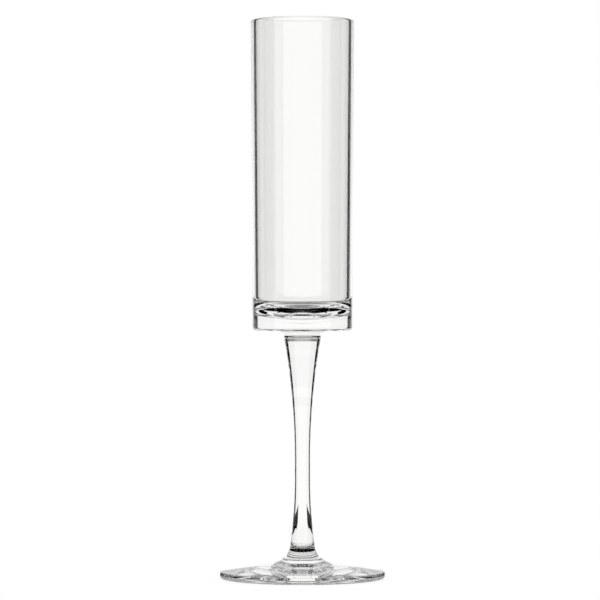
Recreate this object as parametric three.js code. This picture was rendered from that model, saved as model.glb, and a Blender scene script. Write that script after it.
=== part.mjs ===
// A champagne flute in clear moulded plastic: a straight bowl with a thick dished base, a slender waisted stem
// and a round foot. The three mouldings are turned shapes on one axis. Each end of the stem carries a spigot that
// sits in a blind socket, one under the bowl and one in the hub of the foot, and a film of clear adhesive fills
// the gap between spigot, shoulder and socket.
// Millimetres, +Z up. The origin is the centre of the circle that the foot rests on.
import * as THREE from "three";

// Overall
const totalHeight = 250;
const segments = 48;
const degree = Math.PI / 180;

// Bowl
const rimRadius = 23.2;
const bowlLength = 139.1; // flat underside to rim
const wallThickness = 2.35;
const wallDraft = 0.37 * degree; // the wall leans out by this much, so that the moulding leaves its tool
const baseCorner = 1.8; // outer corner between the underside and the wall
const baseWeb = 5; // underside to the lowest point of the dished floor
const dishRadius = 50;
const floorFillet = 9.5; // between the dished floor and the inner wall
const lipRound = 1.05; // both edges of the rim

// Neck under the bowl
const neckRadius = 8.13; // where the stem meets the neck
const neckLength = 3.5;
const neckFillet = 2.8;

// Stem
const waistRadius = 3.43;
const waistTop = 53;
const waistBottom = 45.5;

// Foot
const footRadius = 37.05;
const rimHeight = 3.2;
const rimDraft = 14 * degree; // the rim leans in towards its top
const toeRound = 1.7; // lower corner of the rim
const crownRound = 0.35; // upper corner of the rim
const hubRadius = 5.45; // where the stem meets the foot
const hubHeight = 15;
const hubFillet = 9.3;
const restingWidth = 2; // flat ring that touches the table
const hollowRadius = 9; // flat middle of the hollow under the foot
const hollowShare = 0.95; // slope of the hollow, as a share of the slope of the cone above it

// Bonded joints
const bondGap = 0.2;
const bondInset = 0.15; // the adhesive stops this far inside the joint line
const bowlSpigotRadius = 3;
const socketWeb = 1.2; // plastic left between the bowl's socket and the dished floor
const footSpigotRadius = 4;
const footSpigotLength = 8.4;

// Lengths and heights that follow from them
const bowlSpigotLength = neckLength + baseWeb - socketWeb;
const underside = totalHeight - bowlLength;
const neckFace = underside - neckLength;
const stemTop = neckFace - bondGap;
const stemBottom = hubHeight + bondGap;

// A curve that leaves the waist upright and reaches the given radius after the given rise is one arc. These are
// its radius and the angle from the axis at which it ends.
function flare(endRadius, rise) {
  const spread = endRadius - waistRadius;
  return {
    radius: (rise ** 2 + spread ** 2) / (2 * spread),
    lean: 2 * Math.atan(spread / rise),
  };
}
const upperFlare = flare(neckRadius, stemTop - waistTop);
const lowerFlare = flare(hubRadius, waistBottom - stemBottom);

const point = (r, z) => new THREE.Vector2(r, z);

// Points on an arc of an outline, both ends included. Angles turn from +r towards +z.
function arc(centre, radius, from, to, steps) {
  return Array.from({ length: steps + 1 }, (_, i) => {
    const angle = from + ((to - from) * i) / steps;
    return point(
      centre.x + radius * Math.cos(angle),
      centre.y + radius * Math.sin(angle),
    );
  });
}

// The neck rises from its face in line with the stem, then turns out into the flat underside.
function neckOutline() {
  const { lean } = upperFlare;
  const straight = neckLength - neckFillet * (1 - Math.sin(lean));
  const start = neckRadius + straight * Math.tan(lean);
  const centre = point(
    start + neckFillet * Math.cos(lean),
    underside - neckFillet,
  );
  return [
    point(neckRadius, neckFace),
    ...arc(centre, neckFillet, Math.PI - lean, Math.PI / 2, 7),
  ];
}

// Radius of the outer wall's line at a height, and the centre of a round that touches this line and a level plane.
const wallRadius = (z) => rimRadius - (totalHeight - z) * Math.tan(wallDraft);
function wallRound(level, side, inset, radius) {
  const reach = (1 - side * Math.sin(wallDraft)) / Math.cos(wallDraft);
  return point(
    wallRadius(level) - inset + (inset ? 1 : -1) * radius * reach,
    level + side * radius,
  );
}

function bowlProfile() {
  const right = Math.PI / 2;
  const inner = wallThickness / Math.cos(wallDraft);
  const corner = wallRound(underside, 1, 0, baseCorner);
  const outerLip = wallRound(totalHeight, -1, 0, lipRound);
  const innerLip = wallRound(totalHeight, -1, inner, lipRound);
  innerLip.x += 2 * lipRound * Math.tan(wallDraft);

  // The dish is part of a sphere, and the floor fillet touches it and the inner wall.
  const dishFloor = underside + baseWeb;
  const dish = point(0, dishFloor + dishRadius);
  const filletRadius = wallRadius(dishFloor + floorFillet) - inner - floorFillet;
  const dishAngle = Math.asin(filletRadius / (dishRadius - floorFillet));
  const fillet = point(
    filletRadius,
    dish.y - (dishRadius - floorFillet) * Math.cos(dishAngle),
  );

  const socketRadius = bowlSpigotRadius + bondGap;
  const socketTop = neckFace + bowlSpigotLength;
  return [
    point(0, socketTop),
    point(socketRadius, socketTop),
    point(socketRadius, neckFace),
    ...neckOutline(),
    ...arc(corner, baseCorner, -right, -wallDraft, 6),
    ...arc(outerLip, lipRound, -wallDraft, right, 5),
    ...arc(innerLip, lipRound, right, Math.PI - wallDraft, 5),
    ...arc(fillet, floorFillet, 0, dishAngle - right, 8),
    ...arc(dish, dishRadius, dishAngle - right, -right, 4).slice(1),
  ];
}

function stemProfile() {
  const upper = point(waistRadius + upperFlare.radius, waistTop);
  const lower = point(waistRadius + lowerFlare.radius, waistBottom);
  const spigotTop = stemTop + bowlSpigotLength;
  const spigotBottom = stemBottom - footSpigotLength;
  return [
    point(0, spigotBottom),
    point(footSpigotRadius, spigotBottom),
    point(footSpigotRadius, stemBottom),
    ...arc(lower, lowerFlare.radius, Math.PI + lowerFlare.lean, Math.PI, 8),
    ...arc(upper, upperFlare.radius, Math.PI, Math.PI - upperFlare.lean, 12),
    point(bowlSpigotRadius, stemTop),
    point(bowlSpigotRadius, spigotTop),
    point(0, spigotTop),
  ];
}

function footProfile() {
  const right = Math.PI / 2;
  const toe = point(footRadius - toeRound, toeRound);
  const fillet = point(
    hubRadius + hubFillet * Math.cos(lowerFlare.lean),
    hubHeight + hubFillet * Math.sin(lowerFlare.lean),
  );

  // The side of the rim touches both of its rounds.
  const inward = toeRound - crownRound;
  const crownHeight = rimHeight - crownRound;
  const up =
    (crownHeight - toe.y - inward * Math.sin(rimDraft)) / Math.cos(rimDraft);
  const crown = point(
    toe.x + inward * Math.cos(rimDraft) - up * Math.sin(rimDraft),
    crownHeight,
  );

  // The cone between them touches the crown from above and the hub fillet from below.
  const across = point(crown.x - fillet.x, crown.y - fillet.y);
  const fall =
    -across.angle() - Math.asin((crownRound + hubFillet) / across.length());
  const slope = THREE.MathUtils.euclideanModulo(fall, 2 * Math.PI);

  const hollowEdge = toe.x - restingWidth;
  const hollowHeight =
    (hollowEdge - hollowRadius) * Math.tan(slope) * hollowShare;

  const socketRadius = footSpigotRadius + bondGap;
  const socketFloor = hubHeight - footSpigotLength;
  return [
    point(0, hollowHeight),
    point(hollowRadius, hollowHeight),
    point(hollowEdge, 0),
    ...arc(toe, toeRound, -right, rimDraft, 7),
    ...arc(crown, crownRound, rimDraft, right - slope, 3),
    ...arc(fillet, hubFillet, -right - slope, -Math.PI + lowerFlare.lean, 9),
    point(socketRadius, hubHeight),
    point(socketRadius, socketFloor),
    point(0, socketFloor),
  ];
}

// A film of adhesive: a disc over the spigot's end, a sleeve round the spigot and a flat ring at its shoulder.
// side is 1 for a spigot that points up and -1 for one that points down.
function bondProfile(spigotRadius, spigotLength, shoulder, jointRadius, side) {
  const spigotEnd = shoulder + side * spigotLength;
  const outline = [
    point(0, spigotEnd),
    point(spigotRadius, spigotEnd),
    point(spigotRadius, shoulder),
    point(jointRadius - bondInset, shoulder),
    point(jointRadius - bondInset, shoulder + side * bondGap),
    point(spigotRadius + bondGap, shoulder + side * bondGap),
    point(spigotRadius + bondGap, spigotEnd + side * bondGap),
    point(0, spigotEnd + side * bondGap),
  ];
  return side > 0 ? outline : outline.reverse();
}

function turned(name, profile, material) {
  const geometry = new THREE.LatheGeometry(profile, segments);
  geometry.rotateX(Math.PI / 2); // the lathe turns about Y, and the flute stands along Z
  const mesh = new THREE.Mesh(geometry, material);
  mesh.name = name;
  return mesh;
}

const clearPlastic = new THREE.MeshStandardMaterial({
  name: "clear_polycarbonate",
  color: 0xf2f5f6,
  roughness: 0.03,
  metalness: 0,
  transparent: true,
  opacity: 0.3,
});
const clearAdhesive = new THREE.MeshStandardMaterial({
  name: "clear_adhesive",
  color: 0xf4f2ec,
  roughness: 0.1,
  metalness: 0,
  transparent: true,
  opacity: 0.3,
});

const bowlBond = bondProfile(
  bowlSpigotRadius,
  bowlSpigotLength,
  stemTop,
  neckRadius,
  1,
);
const footBond = bondProfile(
  footSpigotRadius,
  footSpigotLength,
  stemBottom,
  hubRadius,
  -1,
);

const flute = new THREE.Group();
flute.name = "champagne_flute";
flute.add(turned("bowl", bowlProfile(), clearPlastic));
flute.add(turned("bowl_bond", bowlBond, clearAdhesive));
flute.add(turned("stem", stemProfile(), clearPlastic));
flute.add(turned("foot_bond", footBond, clearAdhesive));
flute.add(turned("foot", footProfile(), clearPlastic));

export default flute;
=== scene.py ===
# A champagne flute in clear moulded polycarbonate: a straight bowl with a thick dished base, a slender
# waisted stem and a round foot. The three mouldings are bonded with clear adhesive, so light runs through
# the joints with hardly a mark. Metres, +Z up. Sizes of the outlines and the cards are in millimetres.
import math

import bmesh
import bpy
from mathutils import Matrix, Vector


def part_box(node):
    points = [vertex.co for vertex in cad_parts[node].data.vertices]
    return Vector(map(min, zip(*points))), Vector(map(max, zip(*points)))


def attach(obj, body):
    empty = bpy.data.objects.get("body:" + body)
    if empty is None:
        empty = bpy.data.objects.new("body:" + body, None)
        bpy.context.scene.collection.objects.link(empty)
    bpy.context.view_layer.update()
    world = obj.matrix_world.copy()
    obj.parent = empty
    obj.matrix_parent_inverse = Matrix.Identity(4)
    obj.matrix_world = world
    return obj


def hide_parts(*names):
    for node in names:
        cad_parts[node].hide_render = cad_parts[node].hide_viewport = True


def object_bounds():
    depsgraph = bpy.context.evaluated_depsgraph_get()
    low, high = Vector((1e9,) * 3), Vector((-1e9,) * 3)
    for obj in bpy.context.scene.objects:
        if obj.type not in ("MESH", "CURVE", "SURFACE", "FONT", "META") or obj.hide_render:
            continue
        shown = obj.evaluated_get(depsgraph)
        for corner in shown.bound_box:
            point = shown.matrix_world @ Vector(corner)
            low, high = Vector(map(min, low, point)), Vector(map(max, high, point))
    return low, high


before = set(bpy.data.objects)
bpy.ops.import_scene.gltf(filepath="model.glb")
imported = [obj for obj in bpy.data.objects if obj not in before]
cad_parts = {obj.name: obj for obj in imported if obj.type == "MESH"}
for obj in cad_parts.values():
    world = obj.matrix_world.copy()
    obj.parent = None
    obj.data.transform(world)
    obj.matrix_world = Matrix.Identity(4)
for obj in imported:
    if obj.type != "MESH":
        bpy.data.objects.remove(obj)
cad_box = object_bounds()

MM = 0.001
DEGREE = math.pi / 180
QUARTER = math.pi / 2
TURN_STEPS = 256
SHARP = 20 * DEGREE  # edges that turn more than this stay sharp
TOUCH = 0.01  # a face this near to a bonded surface lies on it, in millimetres

# Bowl
WALL = 2.35
WALL_DRAFT = 0.37 * DEGREE
BASE_CORNER = 1.8
BASE_WEB = 5
DISH_RADIUS = 50
FLOOR_FILLET = 9.5
LIP_ROUND = 1.05
RIM_RADIUS = 23.2

# Neck under the bowl
NECK_RADIUS = 8.13
NECK_LENGTH = 3.5
NECK_FILLET = 2.8

# Stem
WAIST_RADIUS = 3.43
WAIST_TOP = 53
WAIST_BOTTOM = 45.5

# Foot
RIM_HEIGHT = 3.2
RIM_DRAFT = 14 * DEGREE
TOE_ROUND = 1.7
CROWN_ROUND = 0.35
HUB_RADIUS = 5.45
HUB_FILLET = 9.3
RESTING_WIDTH = 2
HOLLOW_RADIUS = 9
HOLLOW_SHARE = 0.95

# Bonded joints
BOND_GAP = 0.2
BOND_INSET = 0.15
BOWL_SPIGOT_RADIUS = 3
FOOT_SPIGOT_RADIUS = 4

# Finishes
PLASTIC_IOR = 1.57
WAVES = (90, 90, 30)  # per metre, so about 11 mm across and 33 mm along the axis
WAVE_DEPTH = 0.0000012  # metres
JOINT_IOR = 1.005  # between plastic and the adhesive that wets it
ADHESIVE_IOR = 1.49
BUBBLES = 900  # per metre, so about a millimetre apart
BUBBLE_DEPTH = 0.0001  # metres

# Camera, in metres. It is level with the floor of the bowl, so the rim is seen from below and the foot from
# above.
CAMERA_AWAY = 1.434
CAMERA_HEIGHT = 0.1179
AIM = Vector((-0.0011, 0, 0.1247))
FRAME_WIDTH = 0.2688

# Studio
SKY_TOP = 60  # degrees above the horizon where the white sweep ends
SKY_SOFT = 5  # degrees either side of that in which it fades
FLOOR_WHITE = 0.915  # the floor's own white, to which its diffuse part adds the rest
# Name, radius and height in metres, and brightness by the angle of the look in degrees of the painted sheen
# that the flute sees: a painted reflection at a glancing angle and painted shade from steeper angles, dimmer
# still on the inner disc round the foot
FLOORS = (
    ("painted_shade_floor", 0.06, -0.0002, ((36, 0), (28, 0.6), (5, 0.75))),
    ("floor", 0.11, -0.0003, ((36, 0), (28, 1))),
)
CARD_SIDE = 61  # from the axis to each side card
# Name, front, back, low and high, from the point that the camera looks at
SIDE_CARDS = (
    ("side_card", -39, 62, -400, 400),
    ("table_card", -120, 150, -130, -112),
)
# Name, place, half width, low and high: the dark room behind the camera, and a narrow strip level with the
# bowl's base, which keeps the light off the floor of the bowl
FRONT_CARDS = (
    ("dark_room", -1500, 2300, 700, 3000),
    ("base_strip", -100, 154, -14, -2.4),
)

# Sizes that the frame gives
total_height = cad_box[1].z / MM
foot_radius = cad_box[1].x / MM
neck_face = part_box("bowl")[0].z / MM
hub_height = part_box("foot")[1].z / MM
spigot_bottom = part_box("stem")[0].z / MM
spigot_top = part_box("stem")[1].z / MM
underside = neck_face + NECK_LENGTH
stem_top = neck_face - BOND_GAP
stem_bottom = hub_height + BOND_GAP


# ---------------------------------------------------------------- outlines, as (radius, height) points


def arc(centre, radius, start, end, steps):
    """Points on an arc of an outline, both ends included. Angles turn from +r towards +z."""
    turns = [start + (end - start) * i / steps for i in range(steps + 1)]
    return [(centre[0] + radius * math.cos(a), centre[1] + radius * math.sin(a)) for a in turns]


def flare(end_radius, rise):
    """Radius and end angle of the arc that leaves the waist upright and is end_radius out after the rise."""
    spread = end_radius - WAIST_RADIUS
    return (rise**2 + spread**2) / (2 * spread), 2 * math.atan(spread / rise)


upper_flare, upper_lean = flare(NECK_RADIUS, stem_top - WAIST_TOP)
lower_flare, lower_lean = flare(HUB_RADIUS, WAIST_BOTTOM - stem_bottom)


def wall_radius(height):
    return RIM_RADIUS - (total_height - height) * math.tan(WALL_DRAFT)


def wall_round(level, side, inset, radius):
    """Centre of a round that touches the drafted wall and a level plane."""
    reach = (1 - side * math.sin(WALL_DRAFT)) / math.cos(WALL_DRAFT)
    return (
        wall_radius(level) - inset + (radius * reach if inset else -radius * reach),
        level + side * radius,
    )


def neck_outline():
    straight = NECK_LENGTH - NECK_FILLET * (1 - math.sin(upper_lean))
    start = NECK_RADIUS + straight * math.tan(upper_lean)
    centre = (start + NECK_FILLET * math.cos(upper_lean), underside - NECK_FILLET)
    return [(NECK_RADIUS, neck_face), *arc(centre, NECK_FILLET, math.pi - upper_lean, QUARTER, steps=16)]


def bowl_floor():
    """Down the inner wall's fillet and across the dish to the axis."""
    inner = WALL / math.cos(WALL_DRAFT)
    floor = underside + BASE_WEB
    reach = DISH_RADIUS - FLOOR_FILLET
    fillet_r = wall_radius(floor + FLOOR_FILLET) - inner - FLOOR_FILLET
    angle = math.asin(fillet_r / reach)
    dish = (0, floor + DISH_RADIUS)
    fillet = (fillet_r, dish[1] - reach * math.cos(angle))
    return [
        *arc(fillet, FLOOR_FILLET, 0, angle - QUARTER, steps=40),
        *arc(dish, DISH_RADIUS, angle - QUARTER, -QUARTER, steps=16)[1:],
    ]


def bowl_outline():
    inner = WALL / math.cos(WALL_DRAFT)
    corner = wall_round(underside, 1, 0, BASE_CORNER)
    outer_lip = wall_round(total_height, -1, 0, LIP_ROUND)
    inner_lip = wall_round(total_height, -1, inner, LIP_ROUND)
    inner_lip = (inner_lip[0] + 2 * LIP_ROUND * math.tan(WALL_DRAFT), inner_lip[1])
    socket_radius = BOWL_SPIGOT_RADIUS + BOND_GAP
    socket_top = spigot_top + BOND_GAP
    return [
        (0, socket_top),
        (socket_radius, socket_top),
        (socket_radius, neck_face),
        (NECK_RADIUS - BOND_INSET, neck_face),
        *neck_outline(),
        *arc(corner, BASE_CORNER, -QUARTER, -WALL_DRAFT, steps=14),
        *arc(outer_lip, LIP_ROUND, -WALL_DRAFT, QUARTER, steps=10),
        *arc(inner_lip, LIP_ROUND, QUARTER, math.pi - WALL_DRAFT, steps=10),
        *bowl_floor(),
    ]


def stem_outline():
    upper = (WAIST_RADIUS + upper_flare, WAIST_TOP)
    lower = (WAIST_RADIUS + lower_flare, WAIST_BOTTOM)
    return [
        (0, spigot_bottom),
        (FOOT_SPIGOT_RADIUS, spigot_bottom),
        (FOOT_SPIGOT_RADIUS, stem_bottom),
        (HUB_RADIUS - BOND_INSET, stem_bottom),
        *arc(lower, lower_flare, math.pi + lower_lean, math.pi, steps=20),
        *arc(upper, upper_flare, math.pi, math.pi - upper_lean, steps=30),
        (NECK_RADIUS - BOND_INSET, stem_top),
        (BOWL_SPIGOT_RADIUS, stem_top),
        (BOWL_SPIGOT_RADIUS, spigot_top),
        (0, spigot_top),
    ]


def foot_outline():
    toe = (foot_radius - TOE_ROUND, TOE_ROUND)
    fillet = (
        HUB_RADIUS + HUB_FILLET * math.cos(lower_lean),
        hub_height + HUB_FILLET * math.sin(lower_lean),
    )

    # The side of the rim touches its two rounds, and the cone touches the crown and the hub fillet.
    inward = TOE_ROUND - CROWN_ROUND
    up = (RIM_HEIGHT - CROWN_ROUND - toe[1] - inward * math.sin(RIM_DRAFT)) / math.cos(RIM_DRAFT)
    crown = (toe[0] + inward * math.cos(RIM_DRAFT) - up * math.sin(RIM_DRAFT), RIM_HEIGHT - CROWN_ROUND)
    across = Vector((crown[0] - fillet[0], crown[1] - fillet[1]))
    slope = math.atan2(-across.y, across.x) - math.asin((CROWN_ROUND + HUB_FILLET) / across.length)

    hollow_edge = toe[0] - RESTING_WIDTH
    hollow_height = (hollow_edge - HOLLOW_RADIUS) * math.tan(slope) * HOLLOW_SHARE
    socket_radius = FOOT_SPIGOT_RADIUS + BOND_GAP
    socket_floor = spigot_bottom - BOND_GAP
    return [
        (0, hollow_height),
        (HOLLOW_RADIUS, hollow_height),
        (hollow_edge, 0),
        *arc(toe, TOE_ROUND, -QUARTER, RIM_DRAFT, steps=20),
        *arc(crown, CROWN_ROUND, RIM_DRAFT, QUARTER - slope, steps=8),
        *arc(fillet, HUB_FILLET, -QUARTER - slope, -math.pi + lower_lean, steps=30),
        (HUB_RADIUS - BOND_INSET, hub_height),
        (socket_radius, hub_height),
        (socket_radius, socket_floor),
        (0, socket_floor),
    ]


def bond_outline(spigot_radius, spigot_end, shoulder, joint_radius, side):
    """A film of adhesive: a disc over the spigot's end, a sleeve round it and a ring at its shoulder."""
    gap = side * BOND_GAP
    outline = [
        (0, spigot_end),
        (spigot_radius, spigot_end),
        (spigot_radius, shoulder),
        (joint_radius - BOND_INSET, shoulder),
        (joint_radius - BOND_INSET, shoulder + gap),
        (spigot_radius + BOND_GAP, shoulder + gap),
        (spigot_radius + BOND_GAP, spigot_end + gap),
        (0, spigot_end + gap),
    ]
    return outline if side > 0 else outline[::-1]


# ---------------------------------------------------------------- turning the mouldings


def from_bmesh(mesh, name):
    """A new object that holds a finished bmesh."""
    data = bpy.data.meshes.new(name)
    mesh.to_mesh(data)
    mesh.free()
    piece = bpy.data.objects.new(name, data)
    bpy.context.collection.objects.link(piece)
    return piece


def turned(name, outline, is_bonded):
    """An outline from the axis out and back, spun into a closed body. Bonded faces take the second slot."""
    mesh = bmesh.new()
    points = [mesh.verts.new((r * MM, 0, z * MM)) for r, z in outline]
    edges = [mesh.edges.new(pair) for pair in zip(points, points[1:])]
    bmesh.ops.spin(mesh, geom=points + edges, axis=(0, 0, 1), cent=(0, 0, 0), angle=2 * math.pi,
                   steps=TURN_STEPS, use_merge=True)
    bmesh.ops.remove_doubles(mesh, verts=mesh.verts, dist=1e-6)
    bmesh.ops.recalc_face_normals(mesh, faces=mesh.faces)
    for face in mesh.faces:
        middle = face.calc_center_median() / MM
        face.material_index = 1 if is_bonded(middle.xy.length, middle.z) else 0
        face.smooth = True
    for edge in mesh.edges:
        edge.smooth = edge.calc_face_angle(0) <= SHARP
    return from_bmesh(mesh, name)


def bowl_is_bonded(radius, height):
    in_socket = radius < BOWL_SPIGOT_RADIUS + BOND_GAP + TOUCH and height < spigot_top + BOND_GAP + TOUCH
    on_neck = radius < NECK_RADIUS - BOND_INSET and height < neck_face + TOUCH
    return in_socket or on_neck


def stem_is_bonded(radius, height):
    on_upper_end = radius < NECK_RADIUS - BOND_INSET and height > stem_top - TOUCH
    on_lower_end = radius < HUB_RADIUS - BOND_INSET and height < stem_bottom + TOUCH
    return on_upper_end or on_lower_end


def foot_is_bonded(radius, height):
    in_socket = radius < FOOT_SPIGOT_RADIUS + BOND_GAP + TOUCH and height > spigot_bottom - BOND_GAP - TOUCH
    on_hub = radius < HUB_RADIUS - BOND_INSET and height > hub_height - TOUCH
    return in_socket or on_hub


def film_is_bonded(joint_radius):
    """All of a film but its outer edge lies on plastic."""
    return lambda radius, height: radius < joint_radius - BOND_INSET - TOUCH


# ---------------------------------------------------------------- materials


def linear(code):
    """An sRGB hex colour as linear light."""
    parts = [int(code[i : i + 2], 16) / 255 for i in (1, 3, 5)]
    return tuple(c / 12.92 if c <= 0.04045 else ((c + 0.055) / 1.055) ** 2.4 for c in parts) + (1,)


def new_material(name):
    material = bpy.data.materials.new(name)
    material.use_nodes = True
    material.node_tree.nodes.clear()
    return material


def add(tree, kind, settings=None, **links):
    """A node with its settings, and links into its inputs by name."""
    node = tree.nodes.new(kind)
    for key, value in (settings or {}).items():
        if key in node.inputs:
            node.inputs[key].default_value = value
        else:
            setattr(node, key, value)
    for key, source in links.items():
        tree.links.new(source, node.inputs[key.replace("_", " ")])
    return node


def clear_polycarbonate():
    """Polycarbonate, injection moulded in a polished tool: glass-clear and hard, with a high index that
    makes thick edges dark. The melt's flow and cooling leave the faces very slightly wavy."""
    material = new_material("clear_polycarbonate")
    tree = material.node_tree
    place = add(tree, "ShaderNodeTexCoord").outputs["Object"]
    # Flow waves about a micrometre deep, drawn out along the axis.
    along = add(tree, "ShaderNodeMapping", {"Scale": WAVES}, Vector=place)
    waves = add(tree, "ShaderNodeTexNoise", {"Scale": 1.0, "Detail": 0.0}, Vector=along.outputs[0])
    lens = add(tree, "ShaderNodeBump", {"Strength": 1.0, "Distance": WAVE_DEPTH}, Height=waves.outputs[0])
    shader = add(tree, "ShaderNodeBsdfPrincipled", {"Base Color": linear("#FDFDFC"), "Roughness": 0.0,
                 "IOR": PLASTIC_IOR, "Transmission Weight": 1.0}, Normal=lens.outputs[0])
    add(tree, "ShaderNodeOutputMaterial", Surface=shader.outputs[0])
    return material


def wetted_joint():
    """A face that cured adhesive has wetted: the two indexes nearly match, so a glancing look shows it."""
    material = new_material("adhesive_wetted_face")
    tree = material.node_tree
    through = add(tree, "ShaderNodeBsdfTransparent", {"Color": linear("#FFFFFF")})
    glint = add(tree, "ShaderNodeBsdfAnisotropic", {"Color": linear("#FFFFFF"), "Roughness": 0.05})
    faint = add(tree, "ShaderNodeFresnel", {"IOR": JOINT_IOR})
    mix = add(tree, "ShaderNodeMixShader", Fac=faint.outputs[0])
    tree.links.new(through.outputs[0], mix.inputs[1])
    tree.links.new(glint.outputs[0], mix.inputs[2])
    add(tree, "ShaderNodeOutputMaterial", Surface=mix.outputs[0])
    return material


def cured_adhesive():
    """Clear acrylic adhesive, cured in a thin film, with tiny bubbles that dent its faces."""
    material = new_material("cured_acrylic_adhesive")
    tree = material.node_tree
    place = add(tree, "ShaderNodeTexCoord").outputs["Object"]
    bubbles = add(tree, "ShaderNodeTexNoise", {"Scale": BUBBLES, "Detail": 2.0}, Vector=place)
    dents = add(tree, "ShaderNodeBump", {"Strength": 0.3, "Distance": BUBBLE_DEPTH},
                Height=bubbles.outputs[0])
    shader = add(tree, "ShaderNodeBsdfPrincipled", {"Base Color": linear("#F6F3EA"), "Roughness": 0.08,
                 "IOR": ADHESIVE_IOR, "Transmission Weight": 1.0}, Normal=dents.outputs[0])
    add(tree, "ShaderNodeOutputMaterial", Surface=shader.outputs[0])
    return material


# ---------------------------------------------------------------- the flute


def build_flute():
    plastic = clear_polycarbonate()
    wetted = wetted_joint()
    adhesive = cured_adhesive()
    bowl_film = bond_outline(BOWL_SPIGOT_RADIUS, spigot_top, stem_top, NECK_RADIUS, 1)
    foot_film = bond_outline(FOOT_SPIGOT_RADIUS, spigot_bottom, stem_bottom, HUB_RADIUS, -1)
    parts = (
        ("bowl_moulding", bowl_outline(), bowl_is_bonded, plastic, "clear_plastic", "bowl"),
        ("stem_moulding", stem_outline(), stem_is_bonded, plastic, "clear_plastic", "stem"),
        ("foot_moulding", foot_outline(), foot_is_bonded, plastic, "clear_plastic", "foot"),
        ("bowl_adhesive", bowl_film, film_is_bonded(NECK_RADIUS), adhesive, "clear_adhesive", "bowl_bond"),
        ("foot_adhesive", foot_film, film_is_bonded(HUB_RADIUS), adhesive, "clear_adhesive", "foot_bond"),
    )
    for name, outline, is_bonded, material, slot, node in parts:
        piece = turned(name, outline, is_bonded)
        piece.data.materials.append(material)
        piece.data.materials.append(wetted)
        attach(piece, "root")
        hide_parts(node)


# ---------------------------------------------------------------- camera


def build_camera():
    camera = bpy.data.objects.new("camera", bpy.data.cameras.new("camera"))
    bpy.context.collection.objects.link(camera)
    camera.data.lens = camera.data.sensor_width * CAMERA_AWAY / FRAME_WIDTH
    camera.data.clip_start = 0.001
    camera.data.clip_end = 20
    camera.location = (AIM.x, -CAMERA_AWAY, CAMERA_HEIGHT)
    camera.rotation_euler = (AIM - camera.location).to_track_quat("-Z", "Y").to_euler()
    bpy.context.scene.camera = camera
    return camera


# ---------------------------------------------------------------- studio


def build_world():
    """A white sweep all round, up to a dark ceiling."""
    world = bpy.data.worlds.new("white_sweep")
    bpy.context.scene.world = world
    world.use_nodes = True
    tree = world.node_tree
    tree.nodes.clear()
    direction = add(tree, "ShaderNodeTexCoord").outputs["Generated"]
    height = add(tree, "ShaderNodeSeparateXYZ", Vector=direction).outputs["Z"]
    sweep = add(tree, "ShaderNodeMapRange", {"From Min": math.sin((SKY_TOP - SKY_SOFT) * DEGREE),
                "From Max": math.sin((SKY_TOP + SKY_SOFT) * DEGREE), "To Min": 1.0, "To Max": 0.0},
                Value=height)
    rays = add(tree, "ShaderNodeLightPath")
    seen = add(tree, "ShaderNodeMath", {"operation": "MAXIMUM"}, Value=rays.outputs["Is Camera Ray"])
    tree.links.new(sweep.outputs[0], seen.inputs[1])
    light = add(tree, "ShaderNodeBackground", {"Color": linear("#FFFFFF")}, Strength=seen.outputs[0])
    add(tree, "ShaderNodeOutputWorld", Surface=light.outputs[0])


def disc(name, radius, height):
    mesh = bmesh.new()
    bmesh.ops.create_circle(mesh, cap_ends=True, segments=128, radius=radius)
    bmesh.ops.translate(mesh, verts=mesh.verts, vec=(0, 0, height))
    piece = from_bmesh(mesh, name)
    return piece


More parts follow.
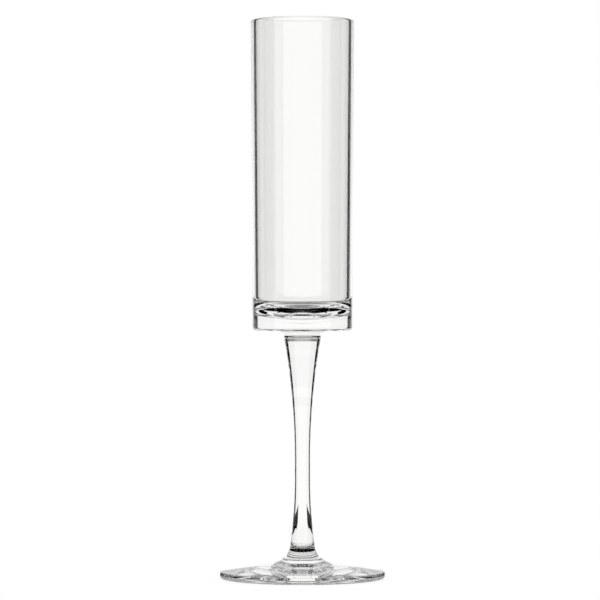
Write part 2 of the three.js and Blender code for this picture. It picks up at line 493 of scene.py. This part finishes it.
def painted_sheen_floor(name, painted_sheen_levels):
    """White to the eye, with the flute's faint shadow. What shows through the flute and in its reflections
    is a painted sheen, an emission set by the angle of the look: a painted reflection, bright at a glancing
    angle, and painted shade, dark from steeper angles."""
    material = new_material(name)
    tree = material.node_tree
    # Painted sheen and painted shade: what the flute sees here is an emission set by the angle of the look,
    # not a reflection from the shader.
    glance = add(tree, "ShaderNodeLayerWeight", {"Blend": 0.5})
    painted_sheen_ramp = add(tree, "ShaderNodeValToRGB", Fac=glance.outputs["Facing"])
    ramp = painted_sheen_ramp.color_ramp.elements
    for angle, level in painted_sheen_levels:
        # The ramp runs from a look straight down, at 0, to a level one, at 1.
        stop = ramp.new(1 - math.sin(angle * DEGREE))
        stop.color = (level, level, level, 1)
    ramp.remove(ramp[0])
    ramp.remove(ramp[-1])
    through = add(tree, "ShaderNodeEmission", {"Color": linear("#FFFFFF")}, Strength=painted_sheen_ramp.outputs[0])
    white = add(tree, "ShaderNodeEmission", {"Color": linear("#FFFFFF"), "Strength": FLOOR_WHITE})
    shade = add(tree, "ShaderNodeBsdfDiffuse", {"Color": linear("#616161")})
    plain = add(tree, "ShaderNodeAddShader")
    tree.links.new(white.outputs[0], plain.inputs[0])
    tree.links.new(shade.outputs[0], plain.inputs[1])
    rays = add(tree, "ShaderNodeLightPath")
    either = add(tree, "ShaderNodeMixShader", Fac=rays.outputs["Is Camera Ray"])
    tree.links.new(through.outputs[0], either.inputs[1])
    tree.links.new(plain.outputs[0], either.inputs[2])
    add(tree, "ShaderNodeOutputMaterial", Surface=either.outputs[0])
    return material


def build_floor():
    # Each disc shows the flute a painted sheen and painted shade. The inner disc's is dimmer, which paints
    # shade near the foot.
    for name, radius, height, painted_sheen_levels in FLOORS:
        disc(name, radius, height).data.materials.append(painted_sheen_floor("painted_sheen_" + name, painted_sheen_levels))


def card_stand(camera):
    """A stand at the flute's middle that turns with the camera, as if the flute stood on a turntable."""
    stand = bpy.data.objects.new("card_stand", None)
    bpy.context.collection.objects.link(stand)
    stand.location = AIM
    turn = stand.constraints.new("COPY_ROTATION")
    turn.target = camera
    return stand


def black_paper():
    material = new_material("black_card")
    black = add(material.node_tree, "ShaderNodeBsdfDiffuse", {"Color": linear("#000000")})
    add(material.node_tree, "ShaderNodeOutputMaterial", Surface=black.outputs[0])
    return material


def black_card(name, stand, paper, corners):
    """A card on the stand, its y pointing away from the camera and its z up. It shows only in reflections
    and through the flute."""
    mesh = bmesh.new()
    mesh.faces.new([mesh.verts.new([v * MM for v in corner]) for corner in corners])
    card = from_bmesh(mesh, name)
    card.data.materials.append(paper)
    card.visible_camera = False
    card.visible_diffuse = False
    card.visible_shadow = False
    card.parent = stand
    card.rotation_euler = (-QUARTER, 0, 0)


def build_cards(stand):
    """Side cards draw the dark edges. Along the table they reach further, to darken the ends of the foot's
    rim."""
    paper = black_paper()
    for x in (-CARD_SIDE, CARD_SIDE):
        for name, front, back, low, high in SIDE_CARDS:
            corners = [(x, front, low), (x, back, low), (x, back, high), (x, front, high)]
            black_card(name, stand, paper, corners)
    for name, away, wide, low, high in FRONT_CARDS:
        corners = [(-wide, away, low), (wide, away, low), (wide, away, high), (-wide, away, high)]
        black_card(name, stand, paper, corners)


def build_studio():
    camera = build_camera()
    build_world()
    build_floor()
    build_cards(card_stand(camera))
    scene = bpy.context.scene
    scene.view_settings.view_transform = "Standard"
    scene.cycles.max_bounces = 32
    scene.cycles.transmission_bounces = 32
    scene.cycles.glossy_bounces = 16
    scene.cycles.transparent_max_bounces = 32


build_flute()
build_studio()
